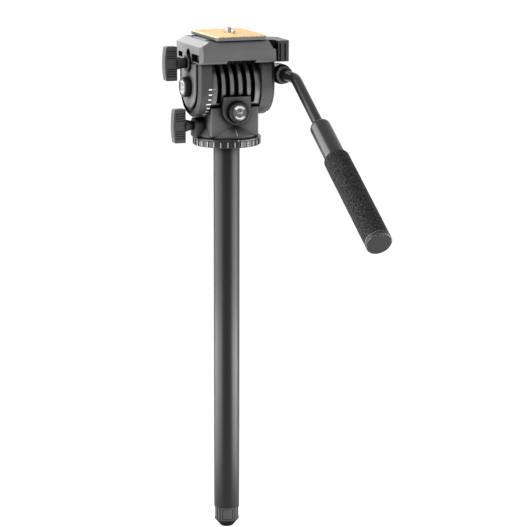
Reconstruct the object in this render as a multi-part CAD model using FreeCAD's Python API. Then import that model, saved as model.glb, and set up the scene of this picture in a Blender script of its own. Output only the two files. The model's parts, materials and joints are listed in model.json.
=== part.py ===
import FreeCAD, Part
import math
import os

# A pan and tilt video head on its own centre column, with a quick-release plate and a pan handle.
# Millimetres. The origin is on the pan axis, at the underside of the ring that stands on the column.
# +Z is up, -Y is the side where the operator stands, and the tilt axis runs along X.

# Gaps
fit = 0.05            # radial gap of a shaft in its bore
gap = 0.3             # gap between faces that move past each other
seat = 0.02           # gap round a piece that is pressed or screwed in
over = 1.0            # how far a cut runs past the face that it opens

# Column
tube_r = 14.0
tube_wall = 1.8
tube_length = 399.0
plug_length = 26.0
stud_r = 4.76
stud_grip = 24.0      # length of the stud inside the column's top plug
stud_rise = 6.0       # length of the stud inside the ring
stud_chamfer = 0.6
foot_length = 23.2
foot_step = 0.3       # how much slimmer the foot is than the tube
foot_bevel_height = 8.0
foot_toe_r = 8.0
foot_toe_height = 2.0
foot_tip_r = 5.4
foot_sag = 0.5
foot_panels = 4
foot_first_panel = 74.0
foot_panel_turn = 52.0
foot_panel_depth = 0.4
foot_panel_edge = 1.6
foot_rib_turn = 17.0  # from the groove on one side of a rib to the groove on the other
foot_groove = 0.8
foot_groove_width = 1.3
foot_stem_r = 4.0
foot_stem_length = 15.0
foot_insert_length = 18.0

# Ring on the column
ring_r = 36.35
ring_height = 9.2
ring_lip = 2.6
ring_teeth = 30
tooth_depth = 1.0
tooth_width = 1.7
ring_rim = 2.4
ring_chamfer = 0.6
recess_depth = 0.6

# Pan spindle, its screws, washers and nut
flange_r = 21.5
flange_t = 3.0
cone_r = 15.0
cone_height = 4.4
cone_sag = 1.0
neck_r = 10.0
spindle_r = 8.0
spindle_tip_r = 6.8
spindle_tip_height = 8.4
washer_t = 0.8
nut_t = 4.0
nut_flats = 22.0
base_screw_r = 1.9
base_screw_head_r = 3.0
base_screw_head_t = 2.2
base_screw_circle = 18.0
base_screw_bite = 2.4  # length of the screws inside the spindle's flange

# Pan block
web_rise = 16.0       # underside of the block's web above the ring
web_t = 4.6
block_half = 26.4
block_front = 26.0
block_back = 25.4
block_top_drop = 20.6  # top of the block below the tilt axis
block_round = 1.5
cavity_side = 0.9     # gap round the spindle's flange
skirt_gap = 0.7       # gap inside the ring's rim
skirt_band = 3.1
skirt_rise = 13.3
skirt_top_r = 25.0
skirt_sag = 0.9
nut_room = 1.3
nut_room_over = 2.0   # how far the nut's room reaches into the disc chamber
bushing_t = 2.5
drum_screw_x = 16.0
drum_screw_y = 10.0
drum_screw_r = 2.0
drum_screw_head_r = 3.4
drum_screw_head_t = 2.4
drum_screw_length = 19.0

# Front pad and the pan drag knob
pad_half = 14.8
pad_face = 33.0
pad_top_drop = 8.6
drag_axis_drop = 24.4
pad_recess = 1.8
pad_recess_side = 0.9
pad_wall = 2.0        # material round the recess
drag_knob_r = 10.7
drag_knob_length = 9.5
drag_knob_flutes = 26
flute_r = 0.7
flute_shift = 0.25    # how far a flute's centre lies outside the knob's wall
knob_dish_r = 8.0
knob_dish = 0.6
knob_chamfer = 0.7
drag_screw_r = 3.0
drag_pad_r = 3.0
drag_pad_length = 3.5
drag_travel = 0.5

# Pan lock
pan_lock_drop = 3.7   # screw axis below the web
lock_boss_r = 8.3
lock_boss_end = 37.3
boss_floor_gap = 0.4
lock_knob_height = 35.6
lock_knob_thick = 9.7
lock_knob_length = 13.4
lock_knob_crown = 1.6
knob_groove = 0.5
knob_groove_width = 0.9
knob_groove_pitch = 2.5
knob_grooves = 4
knob_smooth = 5.6     # half height of the knob's plain middle
knob_round = 0.9
hub_r = 6.9
hub_tip_r = 4.2
lock_screw_r = 3.0
lock_shoe_r = 3.3
lock_shoe_length = 2.6
lock_travel = 0.6
pan_lock_hub = 9.7

# Finned drum round the tilt axis
tilt_z = 62.3
drum_r = 30.0
drum_half = 27.0
end_ring = 6.0
fin_count = 4
fin_width = 3.8
fin_pitch = 9.3
core_r = 21.5
fin_floor_drop = 15.7
chamber_r = 16.0
bushing_length = 6.0
side_bushing_length = 4.0

# Tilt axle and friction discs
axle_r = 7.0
axle_flange_r = 11.0
axle_flange_t = 3.0
axle_nut_t = 5.0
axle_nut_flats = 18.0
disc_count = 4
disc_t = 1.4
disc_gap = 0.15
rotor_r = 14.6
stator_hole_r = 8.6

# Tilt housings
housing_r = 31.8
housing_gap = 0.4
left_width = 14.3
right_width = 15.1
right_step_t = 2.4    # the right housing's outer part, which is a little smaller all round
right_step_in = 1.8
right_bevel = 1.2
housing_web = 4.0
housing_rim = 3.8
housing_ledge = 3.0
housing_bevel = 3.0
tray_depth = 3.9
top_flange = 5.0
top_lip = 1.0
cover_face_r = 22.8
cover_flange_t = 1.2
cover_proud = 0.8
cap_r = 12.0
cap_proud = 1.0
cap_t = 3.5

# Tilt lock
tilt_lock_radius = 25.1
lock_collar_r = 9.0
lock_collar_t = 5.0
lock_collar_room = 0.4
lock_boss_radius = 7.5
tilt_lock_hub = 13.6
tilt_pad_gap = 1.0

# Tilt drag
tilt_knob_length = 6.8
tilt_screw_reach = 19.0

# Platform
platform_half_x = 42.5
platform_half_y = 38.5
platform_drop = 26.7   # underside above the tilt axis
platform_height = 23.1
deck_half = 32.8
left_bevel = 5.6
right_bevel_x = 6.2
right_ledge_drop = 10.1
front_lean = 1.0
side_lean = 0.5
front_chamfer = 3.6
back_chamfer = 1.0
low_chamfer = 2.7     # under the front and the back
side_chamfer = 0.6    # under the left and the right
hollow_half_y = 33.0
hollow_rise = 8.0
hollow_side = 0.2
notch_half = 15.7
notch_shift = 3.0
notch_rise = 3.0
front_window_y = (-33.5, -10.4)
front_window_rise = (1.4, 9.2)
window_boss_wall = 1.4
back_window_y = (18.5, 31.4)
back_window_rise = (2.6, 8.0)
back_window_depth = 5.0
keyhole_half = 5.8
keyhole_top = 13.3
right_screw_setback = 7.8  # from the front and back of the housing
left_screw_spread = 17.0
platform_screw_r = 2.0
platform_screw_head_r = 3.0
platform_screw_head_t = 2.8
platform_screw_length = 14.0

# Plate channel, jaw and plate
plate_x = 2.4         # middle of the plate, of its channel and of the camera screw
plate_half_x = 28.0
plate_half_y = 40.0
plate_gap = 1.1       # daylight between deck and plate
slab_t = 3.1
cork_t = 1.2
cork_inset = 0.7
plate_front_corner = 2.5
plate_back_corner = 0.8
cork_slot = 7.0       # how far the cork's hole runs back from the camera screw
dove_half = 24.6
dove_flank = 3.2      # how far the dovetail draws in above its foot
dove_depth = 5.8      # foot of the plate below the deck
dove_foot = 1.0
dove_slope = 4.2
channel_side = 0.35
channel_floor = 0.3
stop_wall = 3.5
jaw_foot = 8.0        # width of the jaw's underside
jaw_half = 19.0
jaw_y = -0.6
jaw_room = 3.0        # open ends of the jaw's pocket
jaw_proud = 0.6
jaw_screw_r = 1.3
jaw_screw_head_r = 2.2
jaw_screw_head_t = 1.3
jaw_screw_inset = 5.8
jaw_screw_spread = 13.0
jaw_screw_bite = 4.5  # length of the screws inside the platform
screw_r = 3.175
screw_rise = 5.4
screw_head_r = 8.4
screw_head_t = 3.0
screw_slot = 1.4
screw_neck_r = 2.6
screw_tip = 0.6
screw_recess = 1.3    # how far the foot is cut up past the slab's underside for the head
screw_float = 0.1
pin_r = 1.9
pin_rise = 4.5
pin_place = 13.5
pin_flange_r = 3.2
pin_flange_t = 1.2
pin_flange_drop = 0.6
pin_tip_round = 1.5
pin_plug_t = 1.2
spring_wall = 0.7

# Quick-release lever
pivot_x = 37.2
pivot_y = 10.0
hub_radius = 7.2
lever_height = 9.6
lever_floor = 11.6    # pocket floor below the deck
lever_lift = 0.5
pocket_left = 29.5
pocket_back = 30.0
lever_spring_rise = 4.8
pivot_pin_r = 2.5
pivot_head_r = 4.2
pivot_head_t = 0.9
cam_half = 2.6
cam_root = 5.0        # half width of the cam where it leaves the hub
arm_root = 6.8
arm_left = 33.0
arm_front = 17.0
arm_step_x = 41.0     # corner of the open niche between the arm and the tab
arm_step_y = 19.5
arm_over = 1.0        # how far the arm runs into the tab
arm_shoulder = 1.0
arm_round = 6.5
tab_left = 45.2
tab_width = 12.8
tab_thick = 9.0
tab_front = 33.0
tab_drop = 12.4
tab_grooves = 2
tab_groove = 1.5
tab_groove_width = 1.5
tab_first_groove = 2.2
tab_groove_pitch = 5.6
tab_groove_stop = 3.0
tab_round = 2.2

# Handle socket, collar and handle
socket_stand = 9.3    # from the housing's outer face to the handle's axis
socket_rise = 12.4
socket_r = 10.6
socket_setback = 4.3  # from the front of the housing to the socket's face
socket_length = 18.0
socket_round = 4.0
nose_r = 7.2
nose_length = 6.4
collar_r = 9.0
collar_length = 9.0
collar_wall = 2.2
collar_chamfer = 1.2
bracket_half = 7.0
bracket_reach = 6.0
bracket_front = 3.0   # from the socket's face to the front of its foot
bracket_back = 15.5
socket_screw_r = 1.8
socket_screw_head_r = 3.2
socket_screw_head_t = 2.2
socket_screw_place = 9.5
socket_screw_spread = 4.8
socket_screw_bite = 2.4  # length of the screws inside the socket's foot
rod_r = 5.5
rod_in_socket = 16.0
bend_reach = 37.5     # from the socket's face to the corner of the bend
bend_radius = 22.0
bend_angle = 31.5
rod_run = 76.0        # from the corner of the bend to the sleeve
sleeve_r = 10.8
sleeve_length = 53.2
sleeve_round = 5.0
grip_r = 13.3
grip_length = 121.0
grip_round = 1.2
cap_proud_r = 0.1
cap_length = 5.5
cap_chamfer = 1.0

# Places worked out from the sizes above
V = FreeCAD.Vector
X_AXIS = V(1, 0, 0)
Y_AXIS = V(0, 1, 0)
Z_AXIS = V(0, 0, 1)

recess_z = ring_height - recess_depth
web_z = ring_height + web_rise
web_top = web_z + web_t
neck_top = web_z - washer_t
nut_z = web_top + washer_t
nut_top = nut_z + nut_t
spindle_top = nut_top + spindle_tip_height
block_top = tilt_z - block_top_drop
drag_axis_z = tilt_z - drag_axis_drop
pan_lock_z = web_z - pan_lock_drop
cavity_r = flange_r + cavity_side
nut_room_r = nut_flats / math.sqrt(3) + nut_room
left_inner = -(drum_half + housing_gap)
left_outer = left_inner - left_width
right_inner = drum_half + housing_gap
right_outer = right_inner + right_width
platform_z = tilt_z + platform_drop
deck_z = platform_z + platform_height
slab_z = deck_z + plate_gap
cork_z = slab_z + slab_t
plate_top = cork_z + cork_t
dove_z = deck_z - dove_depth
channel_z = dove_z - channel_floor
stop_y = -(platform_half_y - stop_wall)
dove_neck = dove_half - dove_flank
jaw_left = plate_x - dove_half - channel_side - jaw_foot
tilt_lock_z = tilt_z + tilt_lock_radius
cover_x = left_outer - cover_proud
socket_z = tilt_z + socket_rise
socket_x = right_outer + socket_stand
socket_front = housing_r - socket_setback
pocket_z = deck_z - lever_floor
lever_z = pocket_z + lever_lift
knob_x = cover_x - gap


def box(x0, x1, y0, y1, z0, z1):
    return Part.makeBox(x1 - x0, y1 - y0, z1 - z0, V(x0, y0, z0))


def rod(axis, start, length, radius):
    """A cylinder along an axis from a start point."""
    return Part.makeCylinder(radius, length, start, axis)


def pipe(axis, start, length, outer, inner):
    """A tube along an axis from a start point."""
    tall = rod(axis, start - axis * over, length + 2 * over, inner)
    return rod(axis, start, length, outer).cut(tall)


def outline(start, *steps):
    """A closed face. A step is the next point, or a pair of an arc's middle and end points."""
    edges = []
    here = start
    for step in steps + (start,):
        if isinstance(step, tuple):
            middle, end = step
            edges.append(Part.Arc(here, middle, end).toShape())
        else:
            end = step
            if (end - here).Length > 1e-6:
                edges.append(Part.LineSegment(here, end).toShape())
        here = end
    return Part.Face(Part.Wire(edges))


def bowed(start, end, sag):
    """The middle of an arc between two points in X and Z, set off from its chord by a sag."""
    way = (end - start).normalize()
    return (start + end) * 0.5 + V(way.z, 0, -way.x) * sag


def turned(face, base, axis):
    return face.revolve(base, axis, 360)


def along_y(face_points, y0, y1):
    """A prism with an outline in X and Z."""
    face = outline(*[V(x, y0, z) for x, z in face_points])
    return face.extrude(V(0, y1 - y0, 0))


def along_x(face_points, x0, x1):
    """A prism with an outline in Y and Z."""
    face = outline(*[V(x0, y, z) for y, z in face_points])
    return face.extrude(V(x1 - x0, 0, 0))


def along_z(face_points, z0, z1):
    """A prism with an outline in X and Y."""
    face = outline(*[V(x, y, z0) for x, y in face_points])
    return face.extrude(V(0, 0, z1 - z0))


def hexagon(axis, start, length, flats):
    """A hexagonal prism along an axis."""
    radius = flats / math.sqrt(3)
    across = V(axis.y, axis.z, axis.x)
    other = axis.cross(across)
    points = []
    for i in range(6):
        turn = math.radians(60 * i)
        points.append(start + across * (radius * math.cos(turn)) + other * (radius * math.sin(turn)))
    return outline(*points).extrude(axis * length)


def rounded(shape, radius, wanted):
    """Fillets the edges whose middle passes the test."""
    edges = [e for e in shape.Edges if wanted(e)]
    return shape.makeFillet(radius, edges) if edges else shape


def bevelled(shape, size, wanted):
    """Chamfers the edges whose middle passes the test."""
    edges = [e for e in shape.Edges if wanted(e)]
    return shape.makeChamfer(size, edges) if edges else shape


def upright(edge):
    """True for a straight edge along Z."""
    ends = [v.Point for v in edge.Vertexes]
    return len(ends) == 2 and abs((ends[1] - ends[0]).normalize().z) > 0.999


def circle_at(edge, axis, place, radius):
    """True for a round edge of this radius at this place along the axis."""
    curve = edge.Curve
    if not isinstance(curve, Part.Circle):
        return False
    here = curve.Center.dot(axis)
    return abs(here - place) < 1e-4 and abs(curve.Radius - radius) < 1e-4


# Column, ring and spindle

def column_tube():
    return pipe(Z_AXIS, V(0, 0, -tube_length), tube_length, tube_r, tube_r - tube_wall)


def column_plug():
    return pipe(Z_AXIS, V(0, 0, -plug_length), plug_length, tube_r - tube_wall - seat, stud_r + seat)


def head_stud():
    length = stud_grip + stud_rise
    stud = rod(Z_AXIS, V(0, 0, -stud_grip), length, stud_r)
    return bevelled(stud, stud_chamfer, lambda e: isinstance(e.Curve, Part.Circle))


def base_ring():
    body_r = ring_r - tooth_depth
    lip_z = ring_height - ring_lip
    inner_r = ring_r - ring_rim
    chamfer = ring_chamfer
    face = outline(
        V(stud_r + seat, 0, 0),
        V(body_r - chamfer, 0, 0),
        V(body_r, 0, chamfer),
        V(body_r, 0, lip_z),
        V(ring_r, 0, lip_z + chamfer),
        V(ring_r, 0, ring_height - chamfer),
        V(ring_r - chamfer, 0, ring_height),
        V(inner_r, 0, ring_height),
        V(inner_r, 0, recess_z),
        V(0, 0, recess_z),
        V(0, 0, stud_rise),
        V(stud_r + seat, 0, stud_rise),
    )
    ring = turned(face, V(0, 0, 0), Z_AXIS)
    half = tooth_width / 2
    tooth = box(body_r - tooth_depth, ring_r - chamfer / 2, -half, half, chamfer, lip_z + chamfer)
    teeth = []
    for i in range(ring_teeth):
        copy = tooth.copy()
        copy.rotate(V(0, 0, 0), Z_AXIS, 360.0 * i / ring_teeth)
        teeth.append(copy)
    ring = ring.fuse(teeth)
    holes = []
    for place in base_screw_places():
        holes.append(rod(Z_AXIS, place, recess_z + over, base_screw_r + seat))
        low = place - Z_AXIS * over
        holes.append(rod(Z_AXIS, low, base_screw_head_t + over, base_screw_head_r + seat))
    return ring.cut(holes)


def base_screw_places():
    places = []
    for i in range(3):
        turn = math.radians(120 * i + 90)
        places.append(V(base_screw_circle * math.cos(turn), base_screw_circle * math.sin(turn), 0))
    return places


def base_screws():
    screws = []
    for place in base_screw_places():
        head = rod(Z_AXIS, place, base_screw_head_t, base_screw_head_r)
        shank = rod(Z_AXIS, place, recess_z + base_screw_bite, base_screw_r)
        screws.append(head.fuse(shank).removeSplitter())
    return Part.makeCompound(screws)


def pan_spindle():
    flange_z = recess_z + flange_t
    cone_foot = V(cone_r, 0, flange_z)
    cone_top = V(neck_r, 0, flange_z + cone_height)
    face = outline(
        V(0, 0, recess_z),
        V(flange_r, 0, recess_z),
        V(flange_r, 0, flange_z),
        cone_foot,
        (bowed(cone_foot, cone_top, -cone_sag), cone_top),
        V(neck_r, 0, neck_top),
        V(spindle_r, 0, neck_top),
        V(spindle_r, 0, nut_top),
        V(spindle_tip_r, 0, nut_top),
        V(spindle_tip_r, 0, spindle_top),
        V(0, 0, spindle_top),
    )
    spindle = turned(face, V(0, 0, 0), Z_AXIS)
    holes = []
    for place in base_screw_places():
        holes.append(rod(Z_AXIS, place + Z_AXIS * recess_z, base_screw_bite + seat, base_screw_r + seat))
    return spindle.cut(holes)


def thrust_washer():
    return pipe(Z_AXIS, V(0, 0, neck_top), washer_t, neck_r, spindle_r + seat)


def spindle_washer():
    return pipe(Z_AXIS, V(0, 0, web_top), washer_t, nut_flats / 2, spindle_r + seat)


def spindle_nut():
    nut = hexagon(Z_AXIS, V(0, 0, nut_z), nut_t, nut_flats)
    return nut.cut(rod(Z_AXIS, V(0, 0, nut_z - over), nut_t + 2 * over, spindle_r + seat))


def foot_insert():
    low = -tube_length
    outer = tube_r - tube_wall - seat
    return pipe(Z_AXIS, V(0, 0, low), foot_insert_length, outer, foot_stem_r + fit)


def foot_cap():
    top = -tube_length - gap
    low = top - foot_length
    outer = tube_r - foot_step
    bevel_z = low + foot_bevel_height
    tip = V(foot_tip_r, 0, low)
    toe = V(foot_toe_r, 0, low + foot_toe_height)
    face = outline(
        V(0, 0, low),
        tip,
        (bowed(tip, toe, foot_sag), toe),
        V(outer - foot_step, 0, bevel_z),
        V(outer, 0, top - foot_step),
        V(outer - foot_step, 0, top),
        V(foot_stem_r, 0, top),
        V(foot_stem_r, 0, top + foot_stem_length),
        V(0, 0, top + foot_stem_length),
    )
    cap = turned(face, V(0, 0, 0), Z_AXIS)
    # sunk panels with a rib between each two, and a groove on both sides of the rib
    panel_low = bevel_z + foot_panel_edge
    panel_height = top - foot_panel_edge - panel_low
    start = V(0, 0, panel_low)
    panel = Part.makeCylinder(outer + over, panel_height, start, Z_AXIS, foot_panel_turn)
    panel = panel.cut(rod(Z_AXIS, start, panel_height, outer - foot_step - foot_panel_depth))
    half = foot_groove_width / 2
    groove = box(outer - foot_groove, outer + over, -half, half, low, top + over)
    cuts = []
    for i in range(foot_panels):
        middle = foot_first_panel + 360.0 * i / foot_panels
        rib = middle + 180.0 / foot_panels
        for cut, turn in (
            (panel, middle - foot_panel_turn / 2),
            (groove, rib - foot_rib_turn / 2),
            (groove, rib + foot_rib_turn / 2),
        ):
            copy = cut.copy()
            copy.rotate(V(0, 0, 0), Z_AXIS, turn)
            cuts.append(copy)
    return cap.cut(cuts)


# Pan block and what it carries

def pan_block():
    skirt_z = recess_z + gap
    skirt_r = ring_r - ring_rim - skirt_gap
    band_z = skirt_z + skirt_band
    cone_z = band_z + skirt_rise
    cone_foot = V(skirt_r, 0, band_z)
    cone_top = V(skirt_top_r, 0, cone_z)
    skirt_face = outline(
        V(0, 0, skirt_z),
        V(skirt_r, 0, skirt_z),
        cone_foot,
        (bowed(cone_foot, cone_top, -skirt_sag), cone_top),
        V(0, 0, cone_z),
    )
    skirt = turned(skirt_face, V(0, 0, 0), Z_AXIS)
    body = box(-block_half, block_half, -block_front, block_back, band_z, block_top)
    body = rounded(body, block_round, upright)

    low_z = drag_axis_z - pad_recess_room()
    centre_z = low_z + pad_half
    pad_top = tilt_z - pad_top_drop
    pad = outline(
        V(-pad_half, -pad_face, pad_top),
        V(-pad_half, -pad_face, centre_z),
        (V(0, -pad_face, low_z), V(pad_half, -pad_face, centre_z)),
        V(pad_half, -pad_face, pad_top),
    ).extrude(V(0, pad_face - block_front / 2, 0))

    side = lock_boss_r
    boss_z = ring_height + boss_floor_gap
    boss = outline(
        V(-lock_boss_end, -side, boss_z),
        V(-lock_boss_end, -side, pan_lock_z),
        (V(-lock_boss_end, 0, pan_lock_z + side), V(-lock_boss_end, side, pan_lock_z)),
        V(-lock_boss_end, side, boss_z),
    ).extrude(V(lock_boss_end - cavity_r, 0, 0))

    block = body.fuse([skirt, pad, boss])
    ring_zone = pipe(Z_AXIS, V(0, 0, 0), ring_height + boss_floor_gap, 2 * ring_r, skirt_r)
    cuts = [
        ring_zone,
        rod(Z_AXIS, V(0, 0, 0), web_z, cavity_r),
        rod(Z_AXIS, V(0, 0, web_z - over), web_t + 2 * over, spindle_r + fit + bushing_t),
        rod(Z_AXIS, V(0, 0, web_top), tilt_z, nut_room_r),
        rod(X_AXIS, V(-2 * drum_r, 0, tilt_z), 4 * drum_r, drum_r + seat),
        rod(-X_AXIS, V(-neck_r, 0, pan_lock_z), 2 * lock_boss_end, lock_shoe_r + gap),
        rod(-Y_AXIS, V(0, 0, drag_axis_z), 2 * pad_face, drag_pad_r + gap),
        rod(-Y_AXIS, V(0, -pad_face + pad_recess, drag_axis_z), pad_face, drag_knob_r + pad_recess_side),
    ]
    for place in drum_screw_places():
        low = place - Z_AXIS * drum_screw_head_t
        cuts.append(rod(Z_AXIS, low, 2 * drum_screw_length, drum_screw_r + seat))
    return block.cut(cuts).removeSplitter()


def pad_recess_room():
    """From the pan drag knob's axis down to the pad's round bottom."""
    return drag_knob_r + pad_recess_side + pad_wall


def drum_screw_places():
    return [V(x, y, web_z) for x in (-drum_screw_x, drum_screw_x) for y in (-drum_screw_y, drum_screw_y)]


def drum_screws():
    screws = []
    for place in drum_screw_places():
        head = rod(Z_AXIS, place - Z_AXIS * drum_screw_head_t, drum_screw_head_t, drum_screw_head_r)
        shank = rod(Z_AXIS, place, drum_screw_length, drum_screw_r)
        screws.append(head.fuse(shank).removeSplitter())
    return Part.makeCompound(screws)


def pan_bushing():
    outer = spindle_r + fit + bushing_t - seat
    return pipe(Z_AXIS, V(0, 0, web_z), web_t, outer, spindle_r + fit)


def fin_drum():
    blank = rod(X_AXIS, V(-drum_half, 0, tilt_z), 2 * drum_half, drum_r)
    lands = []
    inner = drum_half - end_ring
    places = [fin_pitch * (i - (fin_count - 1) / 2) for i in range(fin_count)]
    for start, stop in ((-drum_half, -inner), (inner, drum_half)):
        lands.append((start, stop))
    for place in places:
        lands.append((place - fin_width / 2, place + fin_width / 2))
    lands.sort()
    floor_z = tilt_z - fin_floor_drop
    for (_, left), (right, _) in zip(lands, lands[1:]):
        trough = pipe(X_AXIS, V(left, 0, tilt_z), right - left, drum_r + over, core_r)
        above = box(left, right, -2 * drum_r, 2 * drum_r, floor_z, tilt_z + 2 * drum_r)
        blank = blank.cut(trough.common(above))
    nut_top_room = tilt_z - chamber_r + nut_room_over
    cuts = [
        rod(X_AXIS, V(-drum_half - over, 0, tilt_z), drum_half + over + inner, chamber_r),
        rod(X_AXIS, V(0, 0, tilt_z), drum_half + over, axle_r + fit + bushing_t),
        rod(-Z_AXIS, V(0, 0, nut_top_room), 2 * drum_r, nut_room_r),
        rod(-Y_AXIS, V(0, 0, drag_axis_z), 2 * drum_r, drag_pad_r + gap),
    ]
    for place in drum_screw_places():
        cuts.append(rod(Z_AXIS, place, drum_screw_length + seat, drum_screw_r + seat))
    return blank.cut(cuts).removeSplitter()


def tilt_bushing_left():
    start = V(-drum_half, 0, tilt_z)
    return pipe(X_AXIS, start, side_bushing_length, chamber_r - seat, axle_r + fit)


def tilt_bushing_right():
    start = V(drum_half - bushing_length, 0, tilt_z)
    return pipe(X_AXIS, start, bushing_length, axle_r + fit + bushing_t - seat, axle_r + fit)


def disc_place(index):
    """Left face of a disc in the stack inside the drum."""
    return -drum_half + side_bushing_length + disc_gap + index * (disc_t + disc_gap)


def drag_stators():
    discs = []
    for i in range(disc_count + 1):
        start = V(disc_place(2 * i), 0, tilt_z)
        discs.append(pipe(X_AXIS, start, disc_t, chamber_r - seat, stator_hole_r))
    return Part.makeCompound(discs)


def drag_rotors():
    discs = []
    for i in range(disc_count):
        start = V(disc_place(2 * i + 1), 0, tilt_z)
        discs.append(pipe(X_AXIS, start, disc_t, rotor_r, axle_r + seat))
    return Part.makeCompound(discs)


def fluted(knob, axis, centre, radius, length):
    """Cuts the flutes of a round knob."""
    across = V(axis.y, axis.z, axis.x)
    flutes = []
    for i in range(drag_knob_flutes):
        flute = rod(axis, centre + across * (radius + flute_shift), length, flute_r)
        flute.rotate(centre, axis, 360.0 * i / drag_knob_flutes)
        flutes.append(flute)
    return knob.cut(flutes)


def round_knob(axis, back, length, radius):
    """A fluted knob that stands away from its back point along the axis, with a dished face."""
    across = V(axis.y, axis.z, axis.x)
    chamfer = knob_chamfer
    steps = (
        (0, 0),
        (radius - chamfer, 0),
        (radius, chamfer),
        (radius, length - chamfer),
        (radius - chamfer, length),
        (knob_dish_r, length),
        (knob_dish_r - knob_dish, length - knob_dish),
        (0, length - knob_dish),
    )
    points = [back + across * r + axis * h for r, h in steps]
    knob = turned(outline(*points), back, axis)
    return fluted(knob, axis, back, radius, length - 2 * chamfer)


def pan_drag_knob():
    back = V(0, -(pad_face - pad_recess) - gap, drag_axis_z)
    return round_knob(-Y_AXIS, back, drag_knob_length, drag_knob_r)


def pan_drag_pad_y():
    """Inner face of the pan drag pad at rest."""
    return -(spindle_tip_r + drag_travel + gap)


def pan_drag_screw():
    back = pan_drag_pad_y() - drag_pad_length
    length = pad_face - pad_recess + gap + back
    return rod(-Y_AXIS, V(0, back, drag_axis_z), length, drag_screw_r)


def pan_drag_pad():
    return rod(-Y_AXIS, V(0, pan_drag_pad_y(), drag_axis_z), drag_pad_length, drag_pad_r)


def lock_knob(right_x, centre_z):
    """A flat oblong knob with ridged sides, its back face at right_x."""
    left_x = right_x - lock_knob_length
    half = lock_knob_height / 2
    thick = lock_knob_thick / 2
    face = outline(
        V(right_x, -thick, centre_z - half),
        V(left_x + lock_knob_crown, -thick, centre_z - half),
        (V(left_x, -thick, centre_z), V(left_x + lock_knob_crown, -thick, centre_z + half)),
        V(right_x, -thick, centre_z + half),
    )
    knob = face.extrude(V(0, lock_knob_thick, 0))
    knob = rounded(knob, knob_round, lambda e: isinstance(e.Curve, Part.Line) and e.BoundBox.YLength > thick)
    width = knob_groove_width
    start_x = left_x + lock_knob_crown + width
    grooves = []
    for i in range(knob_grooves):
        height = knob_smooth + knob_groove_pitch * i
        for z in (centre_z + height - width / 2, centre_z - height - width / 2):
            for y in (-thick, thick - knob_groove):
                grooves.append(box(start_x, right_x - width, y, y + knob_groove, z, z + width))
    return knob.cut(grooves)


def lock_hub(right_x, length, centre_z):
    return Part.makeCone(hub_r, hub_tip_r, length, V(right_x, 0, centre_z), X_AXIS)


def pan_lock_knob():
    right_x = -(lock_boss_end + gap + pan_lock_hub)
    hub = lock_hub(right_x, pan_lock_hub, pan_lock_z)
    return lock_knob(right_x, pan_lock_z).fuse(hub).removeSplitter()


def pan_shoe_x():
    """Inner face of the pan lock's shoe at rest."""
    return -(neck_r + lock_travel + gap)


def pan_lock_screw():
    left = -(lock_boss_end + gap)
    right = pan_shoe_x() - lock_shoe_length
    return rod(X_AXIS, V(left, 0, pan_lock_z), right - left, lock_screw_r)


def pan_lock_shoe():
    return rod(-X_AXIS, V(pan_shoe_x(), 0, pan_lock_z), lock_shoe_length, lock_shoe_r)


# Tilting side

def cup(radius, top, x0, x1):
    """A prism along X, round below the tilt axis and straight-sided above it up to the top."""
    face = outline(
        V(x0, -radius, top),
        V(x0, -radius, tilt_z),
        (V(x0, 0, tilt_z - radius), V(x0, radius, tilt_z)),
        V(x0, radius, top),
    )
    return face.extrude(V(x1 - x0, 0, 0))


def is_rim(edge, x):
    """True for an edge of a housing's outer face, apart from its top."""
    box_of = edge.BoundBox
    on_face = abs(box_of.XMin - x) < 1e-4 and abs(box_of.XMax - x) < 1e-4
    return on_face and box_of.ZMin < platform_z - over


def left_housing():
    shell = cup(housing_r, platform_z, left_outer, left_inner)
    shell = bevelled(shell, housing_bevel, lambda e: is_rim(e, left_outer))
    ledge_x = left_outer + tray_depth
    web_x = left_inner - housing_web
    tray = cup(housing_r - housing_rim, platform_z - top_lip, left_outer - over, ledge_x)
    well = cup(housing_r - housing_rim - housing_ledge, platform_z - top_flange, ledge_x - over, web_x)
    shell = shell.cut([tray, well])
    boss = rod(X_AXIS, V(boss_x(), 0, tilt_lock_z), web_x - boss_x(), lock_boss_radius)
    roof = box(boss_x(), 0, -drum_r, drum_r, platform_z, deck_z)
    shell = shell.fuse(boss.cut(roof))
    cuts = [
        rod(X_AXIS, V(left_outer, 0, tilt_lock_z), left_width, lock_shoe_r + gap),
        rod(-X_AXIS, V(boss_x(), 0, tilt_lock_z), 2 * lock_collar_t, lock_collar_r + lock_collar_room),
        rod(X_AXIS, V(web_x - over, 0, tilt_z), housing_web + 2 * over, axle_r + seat),
    ]
    for place in left_screw_places():
        cuts.append(rod(Z_AXIS, place, top_flange + over, platform_screw_r + seat))
    return shell.cut(cuts).removeSplitter()


def boss_x():
    """Left face of the boss behind the tilt lock's collar, level with the floor of the keyhole notch."""
    return cover_x + lock_collar_t


def left_cover():
    ledge_x = left_outer + tray_depth
    top = platform_z - top_lip - seat
    flange = cup(housing_r - housing_rim - seat, top, ledge_x - cover_flange_t, ledge_x)
    face = cup(cover_face_r, top, cover_x, ledge_x)
    face = bevelled(face, cover_proud, lambda e: is_rim(e, cover_x))
    cover = face.fuse(flange)
    cuts = [
        rod(X_AXIS, V(cover_x - over, 0, tilt_lock_z), 2 * tray_depth, lock_collar_r + lock_collar_room),
        rod(X_AXIS, V(cover_x - over, 0, tilt_z), 2 * tray_depth, drag_screw_r + gap),
    ]
    return cover.cut(cuts).removeSplitter()


def tilt_lock_collar():
    start = V(boss_x() - lock_collar_t, 0, tilt_lock_z)
    collar = pipe(X_AXIS, start, lock_collar_t, lock_collar_r, lock_screw_r + gap)
    return bevelled(collar, cover_proud, lambda e: circle_at(e, X_AXIS, start.x, lock_collar_r))


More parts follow.
